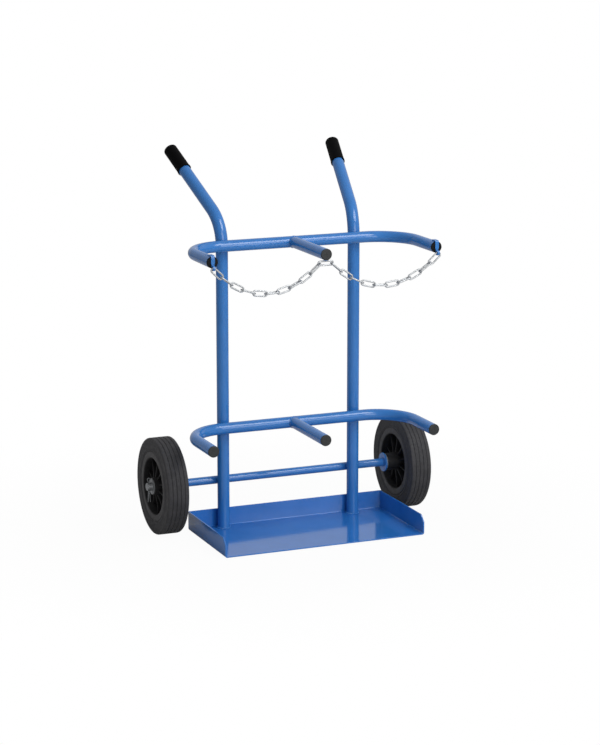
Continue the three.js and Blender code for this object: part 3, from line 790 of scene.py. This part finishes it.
def make_rim(side, out):
    """One moulding: hub, web, barrel and flanges, with ribs on both faces of the web."""
    node = f"{side}_rim"
    low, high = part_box(node)
    tyre_low, tyre_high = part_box(f"{side}_tyre")
    middle = (tyre_low.x + tyre_high.x) / 2
    centre = on_axle(middle)
    outboard = abs((high.x if out > 0 else low.x) - middle)
    inboard = abs((low.x if out > 0 else high.x) - middle)
    flange = radius_of(node)
    dish = flange - RIM_FLANGE
    barrel = dish + BARREL_WALL
    face = (tyre_high.x - tyre_low.x) / 2 - FLANGE_RECESS
    flange_back = face - FLANGE_THICKNESS
    bush_wall = 3 * MM
    bore = axle_radius + bush_wall + 2 * FIT_GAP
    hub, web, draft, overlap = 23 * MM, 2.5 * MM, 1.2 * MM, 2 * MM
    bore_round, hub_round, hub_foot_round, dish_foot_round = 0.6 * MM, 1 * MM, 3 * MM, 4 * MM
    dish_lip, lip_width, lip_round = 1.2 * MM, 3 * MM, 1.5 * MM
    edge_width, edge_drop, edge_round, back_round = 1.6 * MM, 1.4 * MM, 1 * MM, 0.5 * MM

    def outward(end, hub_end):
        """One side's outline, from the hub's end in to the web and out to the flange's back."""
        corners = [
            (bore, hub_end, bore_round),
            (hub - draft, hub_end, hub_round),
            (hub, web, hub_foot_round),
            (dish - draft, web, dish_foot_round),
            (dish, face - dish_lip, lip_round),
            (dish + lip_width, face, lip_round),
            (flange - edge_width, face, edge_round),
            (flange, face - edge_drop, edge_round),
            (flange, flange_back, back_round),
            (barrel, flange_back, back_round),
        ]
        return [(across, end * along, fillet) for across, along, fillet in corners]

    outline = filleted([*outward(-1, inboard), *outward(1, outboard)[::-1]], steps=4)
    shell = Shell()
    turned(shell, outline, centre, X * out, WHEEL_SIDES)
    ribs, at_hub, at_rim, hollow, thick, thin = 10, 20 * MM, 13 * MM, 1 * MM, 2.2 * MM, 1.6 * MM

    def section(spoke, reach, depth):
        """A rib's section at this radius: thick at the web, thin at its two edges."""
        corners = [(-depth, thin), (0, thick), (depth, thin), (depth, -thin), (0, -thick), (-depth, -thin)]
        across = X.cross(spoke)
        return [centre + spoke * reach + X * along + across * aside for along, aside in corners]

    for i in range(ribs):
        spoke = Matrix.Rotation(2 * math.pi * i / ribs, 3, "X") @ Z
        stations = [
            (hub - overlap, at_hub),
            ((hub + dish) / 2, (at_hub + at_rim) / 2 - hollow),
            (dish + overlap, at_rim),
        ]
        shell.loft([section(spoke, reach, depth) for reach, depth in stations])
    rib_round = 0.7 * MM
    shell.piece(f"{node}_moulding", RIM, f"{side}_wheel", [node], bevel=rib_round)


# Chains and what they hang from


def make_strap(side):
    """A flat bar on the arm's end, bent down over the cap and rolled to an eye."""
    node = f"{side}_chain_strap"
    low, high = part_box(node)
    thickness, edge_round = 2.5 * MM, 0.5 * MM
    inner_bend, bend_steps = 2 * MM, 8
    eye_bore, eye_drop, eye_steps = 7.2 * MM, 13 * MM, 30
    opening = math.radians(65)
    narrow, wide = high.x - low.x, 9.6 * MM
    wide_until, narrow_from = -1 * MM, -7 * MM  # from the arm's axis
    x, arm_z = (low.x + high.x) / 2, hoop_height["upper"]
    rolled = (eye_bore + thickness) / 2
    eye = Vector((x, low.y + eye_bore / 2 + thickness, arm_z - eye_drop))
    face, top = eye.y + rolled, high.z - thickness / 2
    corners = [Vector((x, high.y, top)), Vector((x, face, top)), Vector((x, face, eye.z))]
    path = bent_path(corners, inner_bend + thickness / 2, bend_steps)[:-1]
    path += [(Vector((x, face, arm_z + z)), -Z) for z in (wide_until, narrow_from)]
    for i in range(eye_steps + 1):
        turn = -(2 * math.pi - opening) * i / eye_steps
        spoke = Vector((0, math.cos(turn), math.sin(turn)))
        path.append((eye + spoke * rolled, spoke.cross(X)))
    rings = []
    taper_middle = arm_z + (wide_until + narrow_from) / 2
    for place, direction in path:
        outward = X.cross(direction) * thickness / 2
        width = wide if place.z > taper_middle else narrow
        aside = X * width / 2
        rings.append([place + a * aside + b * outward for a, b in ((-1, -1), (1, -1), (1, 1), (-1, 1))])
    shell = Shell()
    shell.loft(rings)
    shell.piece(f"{node}_bar", BLUE, "frame", [node], bevel=edge_round)


def make_bow():
    """A closed loop of wire under the end of the upper middle arm."""
    corner_radius, corner_steps = 4 * MM, 10
    low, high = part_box("centre_chain_bow")
    radius = (high.y - low.y) / 2
    y = (low.y + high.y) / 2
    places = [(low.x, high.z), (high.x, high.z), (high.x, low.z), (low.x, low.z)]
    inwards = [(1, -1), (-1, -1), (-1, 1), (1, 1)]
    corners = [Vector((x + a * radius, y, z + b * radius)) for (x, z), (a, b) in zip(places, inwards)]
    shell = Shell()
    path = bent_loop(corners, corner_radius, corner_steps)
    shell.loft(rings_along(path, Y, radius, WIRE_SIDES), looped=True)
    shell.piece("centre_chain_bow_wire", ZINC, "frame", ["centre_chain_bow"])


def link_frame(node):
    """A link's centre and its directions along, across and square to its plane, from its solid."""
    points = np.array([v.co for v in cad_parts[node].data.vertices], float)
    middle = points.mean(axis=0)
    axes = np.linalg.svd(points - middle, full_matrices=False)[2]
    along, across = Vector(axes[0]), Vector(axes[1])
    reach = (points - middle) @ axes.T
    centre = middle + ((reach.max(axis=0) + reach.min(axis=0)) / 2) @ axes
    return Vector(centre), along, across, along.cross(across)


def make_link(side, number):
    """A long link of round wire with a butt weld on one of its straight runs."""
    node = f"{side}_chain_link_{number:02d}"
    centre, along, across, square = link_frame(node)
    wire, inner_length, inner_width = 4 * MM, 32 * MM, 8 * MM
    weld_length, weld_rise_share = 1.5 * MM, 0.13
    end_radius = (inner_width + wire) / 2
    straight = (inner_length - inner_width) / 2
    end_steps, run_steps = 16, 16
    path = []
    for end in (1, -1):
        for i in range(end_steps + 1):
            turn = math.pi / 2 - math.pi * i / end_steps
            spoke = end * (along * math.cos(turn) + across * math.sin(turn))
            ahead = end * (along * math.sin(turn) - across * math.cos(turn))
            path.append((centre + end * along * straight + spoke * end_radius, ahead))
        for i in range(1, run_steps):
            shift = straight - 2 * straight * i / run_steps
            path.append((centre + end * (along * shift - across * end_radius), -end * along))
    weld_place = centre - across * end_radius
    radii = []
    for place, _ in path:
        away = (place - weld_place).length / weld_length
        radii.append(wire / 2 * (1 + weld_rise_share * math.exp(-away * away)))
    shell = Shell()
    shell.loft(rings_along(path, square, radii, WIRE_SIDES), looped=True)
    shell.piece(f"{node}_wire", ZINC, f"{side}_chain", [node])


# Weld beads, painted over


def bead(shell, path, radius, looped=False, seed=0):
    """A rippled bead along points; the ripples' sizes lean on a seeded unevenness."""
    pitch, steps_per_ripple, bead_sides = 2 * MM, 6, 12
    ripple_share, uneven_share = 0.1, 0.05
    end_share, end_thinnest = 1.2, 0.04
    steepest = 0.99  # a direction's rise, past which it counts as upright
    uneven = np.random.default_rng(seed)
    lengths = [(b - a).length for a, b in zip(path, path[1:] + path[:1])]
    total = sum(lengths) if looped else sum(lengths[:-1])
    ripples = max(round(total / pitch), 2)
    count = ripples * steps_per_ripple
    drift = uneven.normal(0, uneven_share, ripples + 1).tolist()
    marks = np.cumsum([0, *lengths]).tolist()
    rings = []
    for i in range(count if looped else count + 1):
        along = total * i / count
        k = int(np.searchsorted(marks, along, side="right") - 1)
        k = min(k, len(path) - 1 if looped else len(path) - 2)
        after = path[(k + 1) % len(path)]
        place = path[k].lerp(after, min((along - marks[k]) / lengths[k], 1))
        direction = (after - path[k]).normalized()
        steep = abs(direction.z) > steepest
        normal = (direction.orthogonal() if steep else direction.cross(Z)).normalized()
        phase = (i % steps_per_ripple) / steps_per_ripple
        ripple = ripple_share * math.cos(2 * math.pi * phase)
        size = radius * (1 + ripple + drift[(i // steps_per_ripple) % ripples])
        if not looped:
            end = min(along, total - along) / (end_share * radius)
            size *= math.sqrt(max(1 - (1 - min(end, 1)) ** 2, end_thinnest))
        rings.append(circle(place, normal, direction.cross(normal), size, bead_sides))
    shell.loft(rings, looped=looped)


def crossing(centre, tube_radius, tube_y, reach):
    """The ring of points in the wedge where the upright through this centre crosses a tube along X."""
    sides = 48
    facing = math.copysign(1, tube_y)
    points = []
    for k in range(sides):
        turn = 2 * math.pi * k / sides
        dx, dz = reach * math.cos(turn), reach * math.sin(turn)
        upright_skin = facing * math.sqrt(upright_radius**2 - dx**2)
        tube_skin = tube_y - facing * math.sqrt(tube_radius**2 - dz**2)
        points.append(Vector((centre.x + dx, (upright_skin + tube_skin) / 2, centre.z + dz)))
    return points


def weld_hoops(level):
    """Each upright to the hoop's back, and the middle arm's saddle round the hoop."""
    reach, size = 8.5 * MM, 2.6 * MM
    saddle_size, saddle_lift, saddle_steps = 1.2 * MM, 0.7 * MM, 64
    height = hoop_height[level]
    shell = Shell()
    for i, out in enumerate(SIDES.values()):
        ring = crossing(Vector((out * upright_x, 0, height)), hoop_radius, hoop_y, reach)
        bead(shell, ring, size, looped=True, seed=11 + i)
    saddle = []
    arm_skin = hoop_radius + FIT_GAP
    for k in range(saddle_steps):
        turn = 2 * math.pi * k / saddle_steps
        dx, dz = arm_skin * math.cos(turn), arm_skin * math.sin(turn)
        ahead = math.sqrt(max((hoop_radius + saddle_lift) ** 2 - dz**2, 0))
        saddle.append(Vector((dx, hoop_y - ahead, height + dz)))
    bead(shell, saddle, saddle_size, looped=True, seed=17)
    shell.piece(f"{level}_hoop_welds", BLUE, "frame")


def weld_axle():
    """Each upright to the axle, and each collar's inboard face to the axle."""
    reach, size = 6.8 * MM, 2.2 * MM
    collar_size, collar_sink, collar_lift, collar_steps = 1.4 * MM, 0.4 * MM, 0.6 * MM, 48
    shell = Shell()
    for i, (side, out) in enumerate(SIDES.items()):
        centre = Vector((out * upright_x, 0, axle_centre.z))
        ring = crossing(centre, axle_radius, axle_centre.y, reach)
        bead(shell, ring, size, looped=True, seed=23 + i)
        low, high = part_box(f"{side}_axle_collar")
        inboard = low.x if out > 0 else high.x
        middle = on_axle(inboard - out * collar_sink)
        ring = circle(middle, Y, Z, axle_radius + collar_lift, collar_steps)
        bead(shell, ring, collar_size, looped=True, seed=29 + i)
    shell.piece("axle_welds", BLUE, "frame")


def weld_tray():
    """Each upright to the tray's floor and back wall, and the back wall to the side walls."""
    foot_size, foot_lift, foot_spread, foot_steps = 2 * MM, 0.9 * MM, 0.8 * MM, 64
    wall_size, wall_aside, wall_heights = 2.3 * MM, 7.5 * MM, (16 * MM, 30 * MM, 48 * MM)
    corner_size, corner_inset, corner_drop = 1.5 * MM, 0.6 * MM, 2 * MM
    corner_heights = (7 * MM, 30 * MM, tray_high.z - corner_drop)
    wall = tray_high.y - TRAY_SHEET
    shell = Shell()
    for i, out in enumerate(SIDES.values()):
        foot = Vector((out * upright_x, 0, TRAY_SHEET + foot_lift))
        ring = circle(foot, X, Y, upright_radius + foot_spread, foot_steps)
        bead(shell, ring, foot_size, looped=True, seed=31 + i)
        for aside in (-1, 1):
            x = out * upright_x + aside * wall_aside
            y = (math.sqrt(upright_radius**2 - wall_aside**2) + wall) / 2
            bead(shell, [Vector((x, y, z)) for z in wall_heights], wall_size, seed=37 + 2 * i + aside)
        x = out * (tray_high.x - TRAY_SHEET - corner_inset)
        line = [Vector((x, wall - corner_inset, z)) for z in corner_heights]
        bead(shell, line, corner_size, seed=43 + i)
    shell.piece("base_tray_welds", BLUE, "frame")


def weld_chain_mounts():
    """Each strap's two sides and back end to its arm, and the bow to the middle arm."""
    strap_size, side_lift, back_lift, side_start = 1.2 * MM, 0.1 * MM, 0.3 * MM, 1.5 * MM
    bow_size, bow_drop, bow_reach, bow_aside_share = 1.3 * MM, 0.5 * MM, 4.5 * MM, 0.42
    seat = hoop_height["upper"] + hoop_radius
    shell = Shell()
    for i, side in enumerate(SIDES):
        low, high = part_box(f"{side}_chain_strap")
        for x in (low.x, high.x):
            line = [Vector((x, y, seat + side_lift)) for y in (arm_end_y + side_start, high.y)]
            bead(shell, line, strap_size, seed=47 + i)
        line = [Vector((x, high.y, seat + back_lift)) for x in (low.x, high.x)]
        bead(shell, line, strap_size, seed=53 + i)
    low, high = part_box("centre_chain_bow")
    z = hoop_height["upper"] - hoop_radius - bow_drop
    for aside in (-1, 1):
        y = (low.y + high.y) / 2 + aside * (high.y - low.y) * bow_aside_share
        line = [Vector((x, y, z)) for x in (-bow_reach, 0, bow_reach)]
        bead(shell, line, bow_size, seed=59 + aside)
    shell.piece("chain_mount_welds", BLUE, "frame")


# The whole object

WASHER_EDGE = 0.35 * MM
COLLAR_EDGE = 0.8 * MM
bush_bore = axle_radius + FIT_GAP

for side, out in SIDES.items():
    make_upright(side, out)
    make_grip(side, out)
    make_tyre(side)
    make_rim(side, out)
    make_ring(f"{side}_wheel_bush", bush_bore, EDGE_BREAK, NYLON, "sleeve", f"{side}_wheel")
    make_ring(f"{side}_axle_collar", axle_radius, COLLAR_EDGE, BLUE, "ring")
    for place in ("inner", "outer"):
        make_ring(f"{side}_{place}_washer", bush_bore, WASHER_EDGE, HUB_SHADED_ZINC, "disc")
    make_split_pin(side)
    make_strap(side)
    for number in range(1, LINKS + 1):
        make_link(side, number)
for level in LEVELS:
    make_hoop(level)
    make_middle_arm(level)
    for place in ("left", "middle", "right"):
        make_cap(f"{level}_{place}_cap")
make_tray()
make_axle()
make_bow()
for level in LEVELS:
    weld_hoops(level)
weld_axle()
weld_tray()
weld_chain_mounts()


# Floor, world and lamps

FLOOR_HALF = 40
FLOOR_DROP = 0.5 * MM
FLOOR_GREY = 0.62
SHADOW_REACH = (0.35, 1.1)  # distances over which the floor's shadow fades out
GLOW_SHARES = (0.96, 1.0)  # how white the floor looks, under the cart and far away
FLOOR_MIRRORED = 0.02
ROOM_REACH = (-0.8, 0.3)  # from dim to bright, as the sideways part of a ray's direction
ROOM_STRENGTHS = (0.26, 0.55)
ROOM_MIRRORED = 0.15
WHITE = (1, 1, 1, 1)


def looked_at(tree, mirrored):
    """How much of a white background a ray shows: all seen directly, this share in a mirror or glass."""
    rays = tree.nodes.new("ShaderNodeLightPath")
    most = rays.outputs["Is Camera Ray"]
    for kind in ("Is Glossy Ray", "Is Transmission Ray"):
        scaled = tree.nodes.new("ShaderNodeMath")
        scaled.operation = "MULTIPLY"
        scaled.inputs[1].default_value = mirrored
        tree.links.new(rays.outputs[kind], scaled.inputs[0])
        larger = tree.nodes.new("ShaderNodeMath")
        larger.operation = "MAXIMUM"
        tree.links.new(most, larger.inputs[0])
        tree.links.new(scaled.outputs[0], larger.inputs[1])
        most = larger.outputs[0]
    return most


def make_floor():
    """A pale floor that is white to the eye and keeps the cart's soft shadow."""
    shell = Shell()
    shell.points = [(x * FLOOR_HALF, y * FLOOR_HALF, 0) for x, y in ((-1, -1), (1, -1), (1, 1), (-1, 1))]
    shell.faces = [(0, 1, 2, 3)]
    floor = shell.thing("studio_floor")
    floor.location.z = -FLOOR_DROP
    material = bpy.data.materials.new("studio_floor")
    material.use_nodes = True
    tree = material.node_tree
    tree.nodes.clear()
    make, link = tree.nodes.new, tree.links.new
    output = make("ShaderNodeOutputMaterial")
    matt = make("ShaderNodeBsdfDiffuse")
    matt.inputs["Color"].default_value = (FLOOR_GREY, FLOOR_GREY, FLOOR_GREY, 1)
    glow = make("ShaderNodeEmission")
    glow.inputs["Color"].default_value = WHITE
    distance = make("ShaderNodeVectorMath")
    distance.operation = "LENGTH"
    weight = make("ShaderNodeMath")
    weight.operation = "MULTIPLY"
    mix = make("ShaderNodeMixShader")
    link(make("ShaderNodeTexCoord").outputs["Object"], distance.inputs[0])
    link(spread(tree, distance.outputs["Value"], SHADOW_REACH, GLOW_SHARES), weight.inputs[0])
    link(looked_at(tree, FLOOR_MIRRORED), weight.inputs[1])
    link(weight.outputs[0], mix.inputs["Fac"])
    link(matt.outputs[0], mix.inputs[1])
    link(glow.outputs[0], mix.inputs[2])
    link(mix.outputs[0], output.inputs["Surface"])
    floor.data.materials.append(material)


def make_world():
    """White to the eye; a soft room that is dimmer to the left for light and reflections."""
    world = bpy.data.worlds.new("studio")
    bpy.context.scene.world = world
    world.use_nodes = True
    tree = world.node_tree
    tree.nodes.clear()
    make, link = tree.nodes.new, tree.links.new
    output = make("ShaderNodeOutputWorld")
    axes = make("ShaderNodeSeparateXYZ")
    room = make("ShaderNodeBackground")
    white = make("ShaderNodeBackground")
    for background in (room, white):
        background.inputs["Color"].default_value = WHITE
    mix = make("ShaderNodeMixShader")
    link(make("ShaderNodeTexCoord").outputs["Generated"], axes.inputs[0])
    link(spread(tree, axes.outputs["X"], ROOM_REACH, ROOM_STRENGTHS), room.inputs["Strength"])
    link(looked_at(tree, ROOM_MIRRORED), mix.inputs["Fac"])
    link(room.outputs[0], mix.inputs[1])
    link(white.outputs[0], mix.inputs[2])
    link(mix.outputs[0], output.inputs["Surface"])


def make_lamp(name, place, aim, size, watts, mirrored=True):
    """A rectangular lamp turned to its aim; one that isn't mirrored lights without a highlight."""
    lamp = bpy.data.lights.new(name, "AREA")
    lamp.shape = "RECTANGLE"
    lamp.size, lamp.size_y = size
    lamp.energy = watts
    thing = bpy.data.objects.new(name, lamp)
    bpy.context.scene.collection.objects.link(thing)
    place, aim = Vector(place), Vector(aim)
    thing.location = place
    thing.visible_glossy = mirrored
    thing.rotation_mode = "QUATERNION"
    thing.rotation_quaternion = (aim - place).to_track_quat("-Z", "Y")


def make_camera():
    camera = bpy.data.cameras.new("camera")
    camera.lens = CAMERA_LENS
    camera.sensor_width = CAMERA_FRAME
    camera.clip_start, camera.clip_end = CAMERA_RANGE
    thing = bpy.data.objects.new("camera", camera)
    bpy.context.scene.collection.objects.link(thing)
    thing.location = CAMERA_PLACE
    ahead = Vector((
        math.sin(CAMERA_AZIMUTH) * math.cos(CAMERA_ELEVATION),
        math.cos(CAMERA_AZIMUTH) * math.cos(CAMERA_ELEVATION),
        math.sin(CAMERA_ELEVATION),
    ))
    thing.rotation_mode = "QUATERNION"
    thing.rotation_quaternion = ahead.to_track_quat("-Z", "Y")
    bpy.context.scene.camera = thing


make_floor()
make_world()
make_lamp("key", place=(1.0, -1.68, 2.46), aim=(0, -0.03, 0.6), size=(1.6, 1.2), watts=36)
make_lamp("fill", place=(0.4, -3.4, 1.3), aim=(0, 0, 0.4), size=(2.2, 1.8), watts=34)
make_lamp("back", place=(-0.9, 3.0, 2.3), aim=(0, 0, 0.5), size=(2.4, 2.0), watts=26, mirrored=False)
make_camera()
bpy.context.scene.view_settings.view_transform = "Standard"
